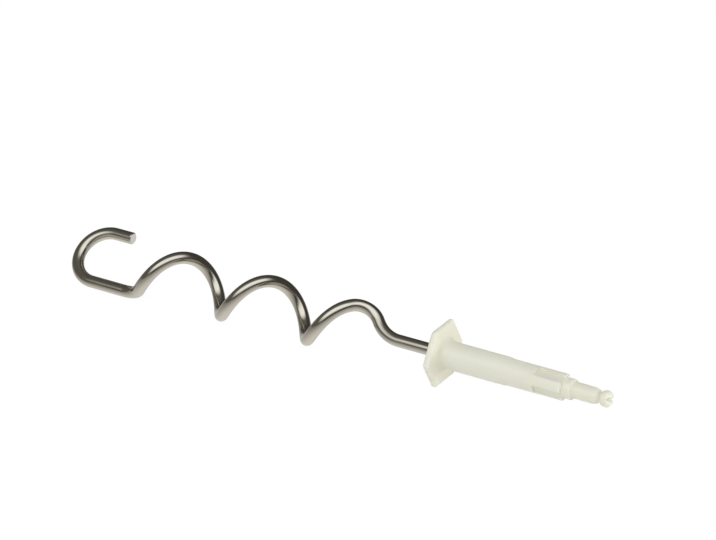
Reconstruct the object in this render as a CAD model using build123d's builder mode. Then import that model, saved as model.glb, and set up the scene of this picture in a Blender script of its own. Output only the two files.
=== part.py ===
from build123d import *
from math import acos, cos, sin
import os

# Dough hook: a stainless wire spiral held in a moulded plastic drive shank.
# The shank's axis is X, with the tip towards +X and the spiral towards -X. The origin is on that axis, in the
# collar's seat face. The hook lies at rest, with one flat of the collar turned down. Millimetres and degrees.

# Wire
wire_diameter = 4.0
wire_end_chamfer = 0.35
stem_length = 20.2
stem_bend_radius = 11.5
run_out_length = 12.9
lead_in_length = 7.6
lead_in_radius = 7.0
spiral_radius = 7.44
spiral_pitch = 32.4
spiral_turns = 2.351
bend_radius = 8.9
leg_length = 12.9
loop_radius = 9.25
tail_length = 6.6

# Wire end inside the shank
held_length = 30.0
held_flat_length = 12.0
held_flat_width = 3.2
seat_clearance = 0.02

# Collar
collar_sides = 6
collar_across_flats = 19.0
collar_thickness = 1.9
collar_corner_radius = 0.9
collar_seat_bevel = 0.55
collar_back_bevel = 0.25
flare_radius = 1.6

# Shank, in order from the collar to the tip
journal_diameter = 9.0
journal_length = 22.1
journal_step_length = 0.5
key_diameter = 8.5
key_length = 19.6
key_end_bevel = 0.25
ring_diameter = 6.6
ring_length = 3.1
ring_end_bevel = 0.25
pin_diameter = 5.25
pin_length = 6.1
shoulder_length = 2.75
neck_diameter = 3.0
neck_length = 0.5
head_diameter = 5.3
head_length = 3.3

# Key pockets and head slot, turned about the axis from straight up towards -Y
pocket_count = 4
pocket_length = 9.6
pocket_width = 3.2
pocket_floor = 3.35
pocket_angle = 22.5
slot_width = 1.7
slot_depth = 1.4

wire_radius = wire_diameter / 2
toward_tip = Vector(1, 0, 0)
toward_loop = Vector(-1, 0, 0)
half_turn = 180

# Stations along the shank
key_start = journal_length + journal_step_length
key_end = key_start + key_length
ring_end = key_end + ring_length
pin_end = ring_end + pin_length
shoulder_end = pin_end + shoulder_length
head_start = shoulder_end + neck_length
shank_end = head_start + head_length

# Bent wire: one round section swept along the line of the wire's centre.
with BuildPart() as wire_hook:
    with BuildLine() as wire_line:
        stem_start = toward_tip * held_length
        stem_corner = toward_loop * (collar_thickness + stem_length)
        spiral = Helix(
            spiral_pitch,
            spiral_pitch * spiral_turns,
            spiral_radius,
            center=stem_corner + toward_loop * run_out_length,
            direction=toward_loop,
            lefthand=True,
            mode=Mode.PRIVATE,
        ).rotate(Axis.X, half_turn)
        lead_in_corner = spiral @ 0 - spiral % 0 * lead_in_length
        FilletPolyline(
            stem_start,
            stem_corner,
            lead_in_corner,
            spiral @ 0,
            radius=(stem_bend_radius, lead_in_radius),
        )
        add(spiral)

        # The bend turns the wire from the spiral's lead back along the axis.
        lead = spiral % 1
        sideways = Vector(0, lead.Y, lead.Z).normalized()
        bend_angle = acos(-lead.X)
        bend_end = (
            spiral @ 1
            + toward_loop * bend_radius * sin(bend_angle)
            + sideways * bend_radius * (1 - cos(bend_angle))
        )
        TangentArc(spiral @ 1, bend_end, tangent=lead)
        leg = Line(bend_end, bend_end + toward_loop * leg_length)

        # The end loop swings back across the spiral's axis.
        across = Vector(0, -(spiral @ 1).Y, -(spiral @ 1).Z).normalized()
        loop_top = leg @ 1 + (toward_loop + across) * loop_radius
        loop = ThreePointArc(leg @ 1, loop_top, leg @ 1 + across * 2 * loop_radius)
        tail = Line(loop @ 1, loop @ 1 + toward_tip * tail_length)
    with BuildSketch(Plane(origin=stem_start, z_dir=toward_loop)):
        Circle(wire_radius)
    sweep(path=wire_line.wire())
    cut_end = wire_hook.faces().sort_by_distance(tail @ 1)[0]
    chamfer(cut_end.edges(), wire_end_chamfer)

    # Two flats rolled on the held end keep it from turning in the shank.
    with BuildSketch(Plane.YZ.offset(held_length - held_flat_length)):
        Circle(wire_diameter)
        Rectangle(2 * wire_diameter, held_flat_width, mode=Mode.SUBTRACT)
    extrude(amount=held_flat_length, mode=Mode.SUBTRACT)
wire_hook.part.label = "wire_hook"

# Moulded drive shank.
with BuildPart() as drive_shank:
    with BuildSketch(Plane.YZ):
        collar = RegularPolygon(collar_across_flats / 2, collar_sides, major_radius=False)
        fillet(collar.vertices(), collar_corner_radius)
    extrude(amount=-collar_thickness)
    seat_rim = drive_shank.faces().sort_by(Axis.X)[-1].edges()
    chamfer(seat_rim, collar_seat_bevel)
    back_rim = drive_shank.faces().sort_by(Axis.X)[0].edges()
    chamfer(back_rim, collar_back_bevel)

    # Turned form of the shank: journal, key length, ring, pin, rounded shoulder, neck and head.
    with BuildSketch(Plane.XZ):
        with BuildLine():
            Polyline(
                (-collar_thickness / 2, 0),
                (-collar_thickness / 2, journal_diameter / 2),
                (journal_length, journal_diameter / 2),
                (key_start, key_diameter / 2),
                (key_end - key_end_bevel, key_diameter / 2),
                (key_end, key_diameter / 2 - key_end_bevel),
                (key_end, ring_diameter / 2),
                (ring_end - ring_end_bevel, ring_diameter / 2),
                (ring_end, pin_diameter / 2),
                (pin_end, pin_diameter / 2),
            )
            EllipticalCenterArc(
                (pin_end, neck_diameter / 2),
                shoulder_length,
                (pin_diameter - neck_diameter) / 2,
                start_angle=0,
                arc_size=90,
            )
            Line((shoulder_end, neck_diameter / 2), (head_start, neck_diameter / 2))
            EllipticalCenterArc(
                (head_start + head_length / 2, neck_diameter / 2),
                head_length / 2,
                (head_diameter - neck_diameter) / 2,
                start_angle=0,
                arc_size=180,
            )
            Polyline(
                (shank_end, neck_diameter / 2),
                (shank_end, 0),
                (-collar_thickness / 2, 0),
            )
        make_face()
    revolve(axis=Axis.X)
    flare_edge = (
        drive_shank.edges()
        .filter_by(GeomType.CIRCLE)
        .filter_by_position(Axis.X, 0, 0)
        .sort_by(SortBy.RADIUS)[-1]
    )
    fillet(flare_edge, flare_radius)

    # Key pockets: flat-floored, closed towards the collar and open at the end of the key length.
    pocket_frame = Plane.YZ.offset(key_end - pocket_length)
    with BuildSketch(pocket_frame):
        with PolarLocations(0, pocket_count, start_angle=90 + pocket_angle):
            with Locations((pocket_floor + key_diameter / 2, 0)):
                Rectangle(key_diameter, pocket_width)
    extrude(amount=pocket_length, mode=Mode.SUBTRACT)

    # Slot across the snap head, midway between two pockets, so that the head can spring together.
    slot_plane = Plane(
        origin=(shank_end, 0, 0),
        x_dir=toward_tip,
        z_dir=Vector(0, 0, 1).rotate(Axis.X, pocket_angle + half_turn / pocket_count),
    )
    with BuildSketch(slot_plane):
        with BuildLine():
            Polyline(
                (0, slot_width / 2),
                (-slot_depth, 0),
                (0, -slot_width / 2),
                close=True,
            )
        make_face()
    extrude(amount=head_diameter, both=True, mode=Mode.SUBTRACT)

    # Seat of the wire, from the back of the collar to the wire's held end.
    seat_radius = wire_radius + seat_clearance
    with BuildSketch(Plane.YZ.offset(-collar_thickness)):
        Circle(seat_radius)
    extrude(amount=collar_thickness + held_length - held_flat_length, mode=Mode.SUBTRACT)
    with BuildSketch(Plane.YZ.offset(held_length - held_flat_length)):
        Circle(seat_radius)
        Rectangle(2 * wire_diameter, held_flat_width + 2 * seat_clearance, mode=Mode.INTERSECT)
    extrude(amount=held_flat_length + seat_clearance, mode=Mode.SUBTRACT)
drive_shank.part.label = "drive_shank"

os.makedirs("parts", exist_ok=True)
export_step(wire_hook.part, "parts/wire_hook.step")
export_step(drive_shank.part, "parts/drive_shank.step")
print("wire length", round(wire_line.wire().length, 2), "wire volume", round(wire_hook.part.volume, 2))
print("lowest point of the wire", round(wire_hook.part.bounding_box().min.Z, 3))
print("lowest point of the collar", round(drive_shank.part.bounding_box().min.Z, 3))
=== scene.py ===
import bmesh
import bpy
import math
from mathutils import Matrix, Quaternion, Vector


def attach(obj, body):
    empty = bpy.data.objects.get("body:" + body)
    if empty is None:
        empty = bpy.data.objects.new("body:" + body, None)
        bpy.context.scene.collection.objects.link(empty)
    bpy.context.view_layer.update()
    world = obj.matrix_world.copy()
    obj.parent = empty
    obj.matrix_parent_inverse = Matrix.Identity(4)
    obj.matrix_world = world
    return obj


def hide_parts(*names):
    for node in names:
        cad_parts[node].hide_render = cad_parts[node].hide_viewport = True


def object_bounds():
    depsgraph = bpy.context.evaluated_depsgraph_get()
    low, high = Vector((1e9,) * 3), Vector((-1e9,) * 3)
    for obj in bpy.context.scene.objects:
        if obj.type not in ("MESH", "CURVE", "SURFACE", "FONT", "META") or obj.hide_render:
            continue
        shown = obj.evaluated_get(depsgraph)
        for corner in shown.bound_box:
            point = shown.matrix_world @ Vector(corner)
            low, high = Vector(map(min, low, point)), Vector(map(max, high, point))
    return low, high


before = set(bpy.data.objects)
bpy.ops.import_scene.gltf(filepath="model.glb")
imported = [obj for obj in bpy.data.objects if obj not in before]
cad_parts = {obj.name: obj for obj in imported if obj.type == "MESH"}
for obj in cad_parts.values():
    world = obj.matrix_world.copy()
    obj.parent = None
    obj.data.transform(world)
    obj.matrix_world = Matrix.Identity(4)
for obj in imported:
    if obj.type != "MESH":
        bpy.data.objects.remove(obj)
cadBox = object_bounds()
mm = 0.001
print("frame loaded:", ", ".join(sorted(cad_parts)))


class Value:
    # a shader socket that takes part in Python sums
    def __init__(self, shader, socket):
        self.shader = shader
        self.socket = socket

    def calc(self, operation, *terms):
        sockets = dict(enumerate(terms))
        return self.shader.node("ShaderNodeMath", {"operation": operation}, sockets)

    def __add__(self, other):
        return self.calc("ADD", self, other)

    def __sub__(self, other):
        return self.calc("SUBTRACT", self, other)

    def __rsub__(self, other):
        return self.calc("SUBTRACT", other, self)

    def __mul__(self, other):
        return self.calc("MULTIPLY", self, other)

    __radd__ = __add__
    __rmul__ = __mul__

    def __abs__(self):
        return self.calc("ABSOLUTE", self)

    def atMost(self, limit):
        return self.calc("MINIMUM", self, limit)

    def between(self, low, high):
        # 0 at low, 1 at high, smooth on the way, and low may be the larger
        sockets = {"Value": self, "From Min": low, "From Max": high}
        return self.shader.node("ShaderNodeMapRange", {"interpolation_type": "SMOOTHSTEP"}, sockets)


class Shader:
    # the node tree of a material, of a lamp or of the world
    def __init__(self, owner):
        owner.use_nodes = True
        self.owner = owner
        self.tree = owner.node_tree
        self.tree.nodes.clear()

    def node(self, kind, settings=None, sockets=None, output=0):
        made = self.tree.nodes.new(kind)
        for name, setting in (settings or {}).items():
            setattr(made, name, setting)
        for name, content in (sockets or {}).items():
            if isinstance(content, Value):
                self.tree.links.new(content.socket, made.inputs[name])
            else:
                made.inputs[name].default_value = content
        return Value(self, made.outputs[output])

    def mixColour(self, factor, first, second):
        # the Mix node repeats its socket names, so its colour sockets go by number
        sockets = {0: factor, 6: first, 7: second}
        return self.node("ShaderNodeMix", {"data_type": "RGBA"}, sockets, 2)

    def vectorSum(self, first, second):
        return self.node("ShaderNodeVectorMath", {"operation": "ADD"}, {0: first, 1: second})

    def scaled(self, vector, factor):
        sockets = {0: vector, 1: (factor, factor, factor)}
        return self.node("ShaderNodeVectorMath", {"operation": "MULTIPLY"}, sockets)

    def pointing(self, way, aim):
        # how far a direction points along an aim, from -1 to 1
        sockets = {0: way, 1: aim}
        return self.node("ShaderNodeVectorMath", {"operation": "DOT_PRODUCT"}, sockets, "Value")

    def part(self, vector, axis):
        return self.node("ShaderNodeSeparateXYZ", None, {"Vector": vector}, axis)

    def noise(self, where, scale, detail):
        sockets = {"Vector": where, "Scale": scale, "Detail": detail}
        return self.node("ShaderNodeTexNoise", None, sockets)

    def close(self, kind, surface):
        end = self.tree.nodes.new(kind)
        self.tree.links.new(surface.socket, end.inputs["Surface"])


def newMaterial(name):
    return Shader(bpy.data.materials.new(name))


# Camera at the photograph's viewing angle, set from the fitted view
view = {
    "azimuth": 31.73,
    "elevation": 26.43,
    "roll": 0.24,
    "distance": 1142.9 * mm,
    "aside": -27.08 * mm,
    "lifted": 25.91 * mm,
    "focalPixels": 3700,
    "imageWidth": 716,
    "sensorWidth": 36.0,
    "clip": (0.01, 20),
}


def viewAxes():
    # the camera's right, its up, and the way from the hook back to it
    azimuth = math.radians(view["azimuth"])
    elevation = math.radians(view["elevation"])
    level = math.cos(elevation)
    back = Vector((math.sin(azimuth) * level, -math.cos(azimuth) * level, math.sin(elevation)))
    aside = Vector((math.cos(azimuth), math.sin(azimuth), 0))
    right = Quaternion(back, math.radians(-view["roll"])) @ aside
    return right, back.cross(right), back


def makeCamera():
    right, up, back = viewAxes()
    data = bpy.data.cameras.new("photoCamera")
    data.sensor_width = view["sensorWidth"]
    data.lens = view["focalPixels"] * view["sensorWidth"] / view["imageWidth"]
    data.clip_start, data.clip_end = view["clip"]
    camera = bpy.data.objects.new("photoCamera", data)
    camera.location = back * view["distance"] + right * view["aside"] + up * view["lifted"]
    camera.rotation_euler = Matrix((right, up, back)).transposed().to_euler()
    bpy.context.scene.collection.objects.link(camera)
    bpy.context.scene.camera = camera


makeCamera()
print("camera set")


# Studio: white paper, a wide softbox above the camera, a weak low fill, a dim room
studio = {
    "paperSize": 4.0,
    "paperColour": (0.97, 0.97, 0.955, 1),
    "paperGlow": 0.86,  # share of plain white in what the camera sees of the paper
    "paperWhite": 1.08,
    "mirroredFlat": 0.3,  # the paper as metal sees it at a flat angle
    "mirroredGain": 0.66,  # what a steep angle adds to that
    "roomFront": (0.72, 0.72, 0.695, 1),
    "roomBehind": (0.92, 0.92, 0.9, 1),
    "frontReach": (-0.6, 0.6),
    "roomTop": (0.2, 0.205, 0.2, 1),
    "topReach": (0, 0.8),
    "mirroredRoom": (0.065, 0.064, 0.057, 1),
    "mirroredLeft": (0.14, 0.137, 0.125, 1),
    "leftReach": (-0.1, 1.0),
    "mirroredTop": (0.15, 0.15, 0.145, 1),
    "mirroredTopReach": (0.7, 1.0),
    "shownRoom": (1, 1, 1, 1),
    "lookAt": Vector((-45 * mm, 0, 0)),
}
softbox = {
    "turn": -3,  # degrees towards the camera's right, so slightly left
    "elevation": 56,
    "roll": 10,
    "distance": 0.55,
    "aside": -0.185,  # along its own length
    "size": (1.8, 0.9),
    "power": 7.3,
    "leftFade": (0, 0.47),  # where it is dark and where it is full, as shares of its length
    "rightFade": (1, 0.79),
    "edgeFade": (0.5, 0.09),  # the same as shares of its width, from the middle
    "colour": (0.91, 0.945, 1.0),
}
fill = {
    "turn": 90,
    "elevation": 3,
    "roll": 0,
    "distance": 0.6,
    "aside": 0,
    "size": (1.1, 0.25),
    "power": 2.2,
    "colour": (1.0, 0.99, 0.97),
}


def seenBy(shader, *names):
    # 1 on the named kinds of ray, 0 on the others
    path = shader.node("ShaderNodeLightPath").socket.node
    rays = [Value(shader, path.outputs[name]) for name in names]
    return sum(rays[1:], rays[0]).atMost(1)


def makePaper():
    paper = newMaterial("studioPaper")
    eye = seenBy(paper, "Is Camera Ray", "Is Transmission Ray")
    mirror = seenBy(paper, "Is Glossy Ray")
    steepness = 1 - paper.node("ShaderNodeLayerWeight", None, None, "Facing")
    mirrored = studio["mirroredFlat"] + steepness * studio["mirroredGain"]
    strength = eye * studio["paperWhite"] + mirror * mirrored
    plain = paper.node("ShaderNodeBsdfDiffuse", None, {"Color": studio["paperColour"]})
    white = paper.node("ShaderNodeEmission", None, {"Strength": strength})
    share = eye * studio["paperGlow"] + mirror
    both = paper.node("ShaderNodeMixShader", None, {0: share, 1: plain, 2: white})
    paper.close("ShaderNodeOutputMaterial", both)

    half = studio["paperSize"] / 2
    floor = cadBox[0].z
    mesh = bpy.data.meshes.new("paper")
    corners = [(-half, -half, floor), (half, -half, floor), (half, half, floor), (-half, half, floor)]
    mesh.from_pydata(corners, [], [(0, 1, 2, 3)])
    mesh.materials.append(paper.owner)
    sheet = bpy.data.objects.new("paper", mesh)
    bpy.context.scene.collection.objects.link(sheet)


def makeRoom():
    # what lights the hook, what metal mirrors and what the camera sees
    right, _, back = viewAxes()
    world = bpy.data.worlds.new("room")
    bpy.context.scene.world = world
    room = Shader(world)
    way = room.node("ShaderNodeTexCoord", None, None, "Generated")
    height = room.part(way, "Z")
    frontward = room.pointing(way, back).between(*studio["frontReach"])
    sides = room.mixColour(frontward, studio["roomBehind"], studio["roomFront"])
    light = room.mixColour(height.between(*studio["topReach"]), sides, studio["roomTop"])
    leftward = room.pointing(way, -right).between(*studio["leftReach"])
    walls = room.mixColour(leftward, studio["mirroredRoom"], studio["mirroredLeft"])
    mirrored = room.mixColour(height.between(*studio["mirroredTopReach"]), walls, studio["mirroredTop"])
    lit = room.mixColour(seenBy(room, "Is Glossy Ray"), light, mirrored)
    eye = seenBy(room, "Is Camera Ray", "Is Transmission Ray")
    shown = room.mixColour(eye, lit, studio["shownRoom"])
    room.close("ShaderNodeOutputWorld", room.node("ShaderNodeBackground", None, {"Color": shown}))


def makeLamp(name, settings):
    # a rectangular lamp that faces the hook, placed from the camera's own bearing
    back = viewAxes()[2]
    ahead = Vector((back.x, back.y, 0)).normalized()
    turned = Quaternion((0, 0, 1), math.radians(settings["turn"])) @ ahead
    tilt = math.radians(settings["elevation"])
    away = turned * math.cos(tilt) + Vector((0, 0, math.sin(tilt)))
    data = bpy.data.lights.new(name, "AREA")
    data.shape = "RECTANGLE"
    data.size, data.size_y = settings["size"]
    data.energy = settings["power"]
    data.color = settings["colour"]
    lamp = bpy.data.objects.new(name, data)
    rolled = Quaternion(away, math.radians(settings["roll"])) @ away.to_track_quat("Z", "Y")
    sideways = rolled @ Vector((1, 0, 0))
    lamp.location = studio["lookAt"] + away * settings["distance"] + sideways * settings["aside"]
    lamp.rotation_euler = rolled.to_euler()
    lamp.visible_camera = False
    bpy.context.scene.collection.objects.link(lamp)
    return lamp


def fadeLamp(lamp, settings):
    # full strength in the middle, fading smoothly towards the ends and the long edges
    middle = 0.5
    glow = Shader(lamp.data)
    where = glow.node("ShaderNodeNewGeometry", None, None, "Parametric")
    along = glow.part(where, "X")
    offMiddle = abs(glow.part(where, "Y") - middle)
    ends = along.between(*settings["leftFade"]) * along.between(*settings["rightFade"])
    strength = ends * offMiddle.between(*settings["edgeFade"])
    glow.close("ShaderNodeOutputLight", glow.node("ShaderNodeEmission", None, {"Strength": strength}))


makePaper()
makeRoom()
fadeLamp(makeLamp("softbox", softbox), softbox)
makeLamp("fill", fill).visible_glossy = False
bpy.context.scene.view_settings.view_transform = "Standard"
print("studio lit")


# Bent wire, swept along the line that a wire bender follows
wire = {
    "diameter": 4.0 * mm,
    "heldEnd": 30.0 * mm,
    "flatStart": 18.0 * mm,
    "flatHalf": 1.6 * mm,
    "stemCorner": -22.1 * mm,
    "stemBend": 11.5 * mm,
    "leadIn": 7.6 * mm,
    "leadInBend": 7.0 * mm,
    "spiralStart": -35.0 * mm,
    "spiralRadius": 7.44 * mm,
    "spiralPitch": 32.4 * mm,
    "spiralTurns": 2.351,
    "bend": 8.9 * mm,
    "leg": 12.9 * mm,
    "loop": 9.25 * mm,
    "tail": 6.6 * mm,
    "endChamfer": 0.35 * mm,
    "step": 0.35 * mm,
    "ringSegments": 56,
    "creaseAngle": 30,
}
towardLoop = Vector((-1, 0, 0))


class WireLine:
    # the wire's centre line, drawn as runs and bends
    def __init__(self, start):
        self.points = [start.copy()]

    def run(self, end):
        start = self.points[-1].copy()
        count = max(1, round((end - start).length / wire["step"]))
        self.points += [start.lerp(end, i / count) for i in range(1, count + 1)]

    def curve(self, place, length):
        count = max(2, math.ceil(length / wire["step"]))
        self.points += [place(i / count) for i in range(1, count + 1)]

    def bendTo(self, start, ahead, aside, radius, first, last):
        # an arc in the plane of ahead and aside, whose heading turns from angle first to angle last
        def place(share):
            turn = first + (last - first) * share
            along = math.sin(turn) - math.sin(first)
            across = math.cos(first) - math.cos(turn)
            way = 1 if last > first else -1
            return start + (ahead * along + aside * across) * radius * way

        self.curve(place, abs(last - first) * radius)

    def corner(self, point, after, radius):
        # run towards a corner, then round it with a tangent arc
        ahead = (point - self.points[-1]).normalized()
        leaving = (after - point).normalized()
        turn = ahead.angle(leaving)
        aside = (leaving - ahead * math.cos(turn)).normalized()
        self.run(point - ahead * radius * math.tan(turn / 2))
        self.bendTo(self.points[-1].copy(), ahead, aside, radius, 0, turn)


def spiralPlace(turns):
    angle = 2 * math.pi * turns
    x = wire["spiralStart"] - wire["spiralPitch"] * turns
    return Vector((x, -wire["spiralRadius"] * math.sin(angle), wire["spiralRadius"] * math.cos(angle)))


def spiralHeading(turns):
    angle = 2 * math.pi * turns
    girth = 2 * math.pi * wire["spiralRadius"]
    return Vector((-wire["spiralPitch"], -girth * math.cos(angle), -girth * math.sin(angle))).normalized()


def drawWireLine():
    line = WireLine(Vector((wire["heldEnd"], 0, 0)))
    spiralTop = spiralPlace(0)
    leadInCorner = spiralTop - spiralHeading(0) * wire["leadIn"]
    stemCorner = Vector((wire["stemCorner"], 0, 0))
    line.run(Vector((wire["flatStart"], 0, 0)))
    line.corner(stemCorner, leadInCorner, wire["stemBend"])
    line.corner(leadInCorner, spiralTop, wire["leadInBend"])
    line.run(spiralTop)

    turns = wire["spiralTurns"]
    coilLength = turns * math.hypot(wire["spiralPitch"], 2 * math.pi * wire["spiralRadius"])
    line.curve(lambda share: spiralPlace(turns * share), coilLength)

    heading = spiralHeading(turns)
    aside = Vector((0, heading.y, heading.z)).normalized()
    line.bendTo(line.points[-1].copy(), towardLoop, aside, wire["bend"], math.acos(-heading.x), 0)
    line.run(line.points[-1] + towardLoop * wire["leg"])
    spiralEnd = spiralPlace(turns)
    inward = Vector((0, -spiralEnd.y, -spiralEnd.z)).normalized()
    line.bendTo(line.points[-1].copy(), towardLoop, inward, wire["loop"], 0, math.pi)
    line.run(line.points[-1] - towardLoop * (wire["tail"] - wire["endChamfer"]))
    line.points.append(line.points[-1] - towardLoop * wire["endChamfer"])
    return line.points


def wireCurve(points):
    data = bpy.data.curves.new("wireLine", "CURVE")
    data.dimensions = "3D"
    spline = data.splines.new("POLY")
    spline.points.add(len(points) - 1)
    for knot, place in zip(spline.points, points):
        knot.co = (*place, 1)
    spline.points[-1].radius = 1 - 2 * wire["endChamfer"] / wire["diameter"]
    curve = bpy.data.objects.new("wireLine", data)
    bpy.context.scene.collection.objects.link(curve)
    return curve


class GeometryTree:
    # a Geometry Nodes tree with named inputs
    def __init__(self, name):
        self.tree = bpy.data.node_groups.new(name, "GeometryNodeTree")
        self.tree.interface.new_socket("Geometry", in_out="INPUT", socket_type="NodeSocketGeometry")
        self.tree.interface.new_socket("Geometry", in_out="OUTPUT", socket_type="NodeSocketGeometry")
        self.start = self.tree.nodes.new("NodeGroupInput")
        self.identifiers = {}

    def addInput(self, name, kind):
        socket = self.tree.interface.new_socket(name, in_out="INPUT", socket_type=kind)
        self.identifiers[name] = socket.identifier
        return self.start.outputs[name]

    def node(self, kind, settings=None, sockets=None, output=0):
        made = self.tree.nodes.new(kind)
        for name, setting in (settings or {}).items():
            setattr(made, name, setting)
        for name, content in (sockets or {}).items():
            if isinstance(content, bpy.types.NodeSocket):
                self.tree.links.new(content, made.inputs[name])
            else:
                made.inputs[name].default_value = content
        return made.outputs[output]

    def close(self, geometry):
        end = self.tree.nodes.new("NodeGroupOutput")
        self.tree.links.new(geometry, end.inputs["Geometry"])

    def bake(self, carrier, values, name):
        # set the inputs, evaluate, and keep the result as a plain mesh
        modifier = carrier.modifiers.new(name, "NODES")
        modifier.node_group = self.tree
        for label, content in values.items():
            modifier[self.identifiers[label]] = content
        graph = bpy.context.evaluated_depsgraph_get()
        mesh = bpy.data.meshes.new_from_object(carrier.evaluated_get(graph), depsgraph=graph)
        mesh.name = name
        carrier.modifiers.remove(modifier)
        return mesh


def wireSweep():
    sweep = GeometryTree("wireSweep")
    diameter = sweep.addInput("Wire Diameter", "NodeSocketFloat")
    segments = sweep.addInput("Ring Segments", "NodeSocketInt")
    finish = sweep.addInput("Finish", "NodeSocketMaterial")
    radius = sweep.node("ShaderNodeMath", {"operation": "DIVIDE"}, {0: diameter, 1: 2})
    ring = sweep.node("GeometryNodeCurvePrimitiveCircle", None, {"Resolution": segments, "Radius": radius})
    place = sweep.node("GeometryNodeInputPosition")
    outward = sweep.node("ShaderNodeVectorMath", {"operation": "NORMALIZE"}, {0: place})
    ring = sweep.node(
        "GeometryNodeStoreNamedAttribute",
        {"data_type": "FLOAT_VECTOR", "domain": "POINT"},
        {"Geometry": ring, "Name": "aroundWire", "Value": outward},
    )
    length = sweep.node("GeometryNodeSplineParameter", None, None, "Length")
    line = sweep.node(
        "GeometryNodeStoreNamedAttribute",
        {"data_type": "FLOAT", "domain": "POINT"},
        {"Geometry": sweep.start.outputs["Geometry"], "Name": "alongWire", "Value": length},
    )
    thickness = sweep.node("GeometryNodeInputRadius")
    tube = sweep.node(
        "GeometryNodeCurveToMesh",
        None,
        {"Curve": line, "Profile Curve": ring, "Scale": thickness, "Fill Caps": True},
    )
    tube = sweep.node("GeometryNodeSetShadeSmooth", None, {"Geometry": tube})
    tube = sweep.node("GeometryNodeRealizeInstances", None, {"Geometry": tube})
    sweep.close(sweep.node("GeometryNodeSetMaterial", None, {"Geometry": tube, "Material": finish}))
    return sweep


steel = {
    "colour": (0.595, 0.555, 0.47, 1),
    "shade": (0.545, 0.505, 0.42, 1),
    "roughness": 0.14,
    "runScale": 60,  # noise steps in a metre of wire
    "lineCount": 26,  # noise steps in the wire's radius
    "lineDetail": 3,
    "lineRoughness": 0.03,
    "lineDepth": 0.0003 * mm,
    "streakCount": 5,
    "streakDetail": 1,
    "streakDepth": 0.03 * mm,
    "toneScale": 1.2,
    "toneDetail": 1,
    "toneShare": 0.5,
    "cutBand": (0.12 * mm, 0.02 * mm),  # before the wire's end
    "cutColour": (0.78, 0.745, 0.72, 1),
    "cutMatt": 0.6,
    "cutRoughness": 0.25,
}


def drawnSteel(wireLength):
    metal = newMaterial("drawnSteel")
    along = metal.node("ShaderNodeAttribute", {"attribute_name": "alongWire"}, None, "Fac")
    around = metal.node("ShaderNodeAttribute", {"attribute_name": "aroundWire"}, None, "Vector")
    step = along * steel["runScale"]
    run = metal.node("ShaderNodeCombineXYZ", None, {"X": step, "Y": step, "Z": step})

    # drawn lines and broader streaks, both stretched along the wire
    fine = metal.vectorSum(metal.scaled(around, steel["lineCount"]), run)
    broad = metal.vectorSum(metal.scaled(around, steel["streakCount"]), run)
    lines = metal.noise(fine, 1, steel["lineDetail"])
    streaks = metal.noise(broad, 1, steel["streakDetail"])
    tone = metal.noise(run, steel["toneScale"], steel["toneDetail"])
    height = lines * steel["lineDepth"] + streaks * steel["streakDepth"]
    bump = metal.node("ShaderNodeBump", None, {"Strength": 1, "Distance": 1, "Height": height})

    # the cut face at the tail's end is paler and matt
    cutStart, cutFull = steel["cutBand"]
    cut = along.between(wireLength - cutStart, wireLength - cutFull)
    drawn = metal.mixColour((lines + tone) * steel["toneShare"], steel["shade"], steel["colour"])
    sockets = {
        "Base Color": metal.mixColour(cut, drawn, steel["cutColour"]),
        "Metallic": 1 - cut * steel["cutMatt"],
        "Roughness": steel["roughness"] + lines * steel["lineRoughness"] + cut * steel["cutRoughness"],
        "Normal": bump,
    }
    metal.close("ShaderNodeOutputMaterial", metal.node("ShaderNodeBsdfPrincipled", None, sockets))
    return metal.owner


def addPiece(name, mesh, node):
    piece = bpy.data.objects.new(name, mesh)
    bpy.context.scene.collection.objects.link(piece)
    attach(piece, "root")
    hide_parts(node)


def makeWire():
    points = drawWireLine()
    wireLength = sum((b - a).length for a, b in zip(points, points[1:]))
    carrier = wireCurve(points)
    values = {
        "Wire Diameter": wire["diameter"],
        "Ring Segments": wire["ringSegments"],
        "Finish": drawnSteel(wireLength),
    }
    mesh = wireSweep().bake(carrier, values, "bentWire")
    bpy.data.objects.remove(carrier)
    for vertex in mesh.vertices:  # two flats on the held end
        if vertex.co.x > wire["flatStart"]:
            vertex.co.z = min(max(vertex.co.z, -wire["flatHalf"]), wire["flatHalf"])
    mesh.set_sharp_from_angle(angle=math.radians(wire["creaseAngle"]))
    addPiece("bentWire", mesh, "wire_hook")
    print("bent wire made:", round(wireLength / mm, 1), "mm,", len(mesh.polygons), "faces")


makeWire()


# Drive shank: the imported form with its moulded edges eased
shank = {
    "mergeWithin": 0.001 * mm,
    "flatWithin": 0.4,
    "edgeEase": 0.12 * mm,
    "edgeSegments": 3,
    "edgeAngle": 28,
}
plastic = {
    "colour": (0.85, 0.83, 0.715, 1),
    "shade": (0.825, 0.805, 0.685, 1),
    "roughness": 0.3,
    "cloudScale": 160,  # noise steps in a metre
    "cloudRoughness": 0.08,
    "grainScale": 3200,
    "grainStrength": 0.4,
    "grainDepth": 0.004 * mm,
    "noiseDetail": 2,
    "refraction": 1.5,
    "scatter": 0.8,
    "scatterRadius": (1.0, 0.9, 0.7),
    "scatterDepth": 2.5 * mm,
}


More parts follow.
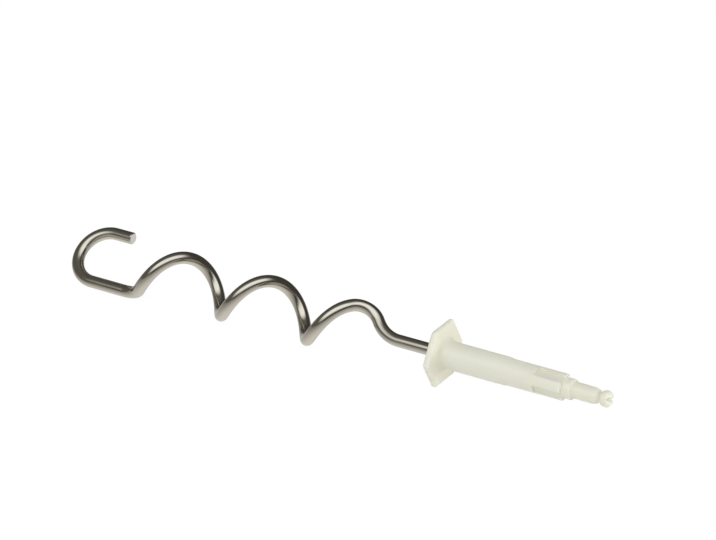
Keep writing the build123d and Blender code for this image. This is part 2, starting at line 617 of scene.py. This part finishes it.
def mouldedPlastic():
    ivory = newMaterial("mouldedPlastic")
    where = ivory.node("ShaderNodeTexCoord", None, None, "Object")
    cloud = ivory.noise(where, plastic["cloudScale"], plastic["noiseDetail"])
    grain = ivory.noise(where, plastic["grainScale"], plastic["noiseDetail"])
    relief = {"Strength": plastic["grainStrength"], "Distance": plastic["grainDepth"], "Height": grain}
    sockets = {
        "Base Color": ivory.mixColour(cloud, plastic["shade"], plastic["colour"]),
        "Roughness": plastic["roughness"] + cloud * plastic["cloudRoughness"],
        "IOR": plastic["refraction"],
        "Subsurface Weight": plastic["scatter"],
        "Subsurface Radius": plastic["scatterRadius"],
        "Subsurface Scale": plastic["scatterDepth"],
        "Normal": ivory.node("ShaderNodeBump", None, relief),
    }
    ivory.close("ShaderNodeOutputMaterial", ivory.node("ShaderNodeBsdfPrincipled", None, sockets))
    return ivory.owner


def makeShank():
    form = bmesh.new()
    form.from_mesh(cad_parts["drive_shank"].data)
    bmesh.ops.remove_doubles(form, verts=form.verts, dist=shank["mergeWithin"])
    flat = math.radians(shank["flatWithin"])
    bmesh.ops.dissolve_limit(form, angle_limit=flat, verts=form.verts, edges=form.edges)
    mesh = bpy.data.meshes.new("mouldedShank")
    form.to_mesh(mesh)
    form.free()
    mesh.materials.append(mouldedPlastic())
    mesh.shade_smooth()
    carrier = bpy.data.objects.new("mouldedShank", mesh)
    bpy.context.scene.collection.objects.link(carrier)
    ease = carrier.modifiers.new("ease", "BEVEL")
    ease.width = shank["edgeEase"]
    ease.segments = shank["edgeSegments"]
    ease.limit_method = "ANGLE"
    ease.angle_limit = math.radians(shank["edgeAngle"])
    ease.use_clamp_overlap = True
    ease.harden_normals = True
    graph = bpy.context.evaluated_depsgraph_get()
    finished = bpy.data.meshes.new_from_object(carrier.evaluated_get(graph), depsgraph=graph)
    bpy.data.objects.remove(carrier)
    finished.name = "mouldedShankEased"
    addPiece("mouldedShank", finished, "drive_shank")
    print("drive shank made:", len(finished.polygons), "faces")


makeShank()
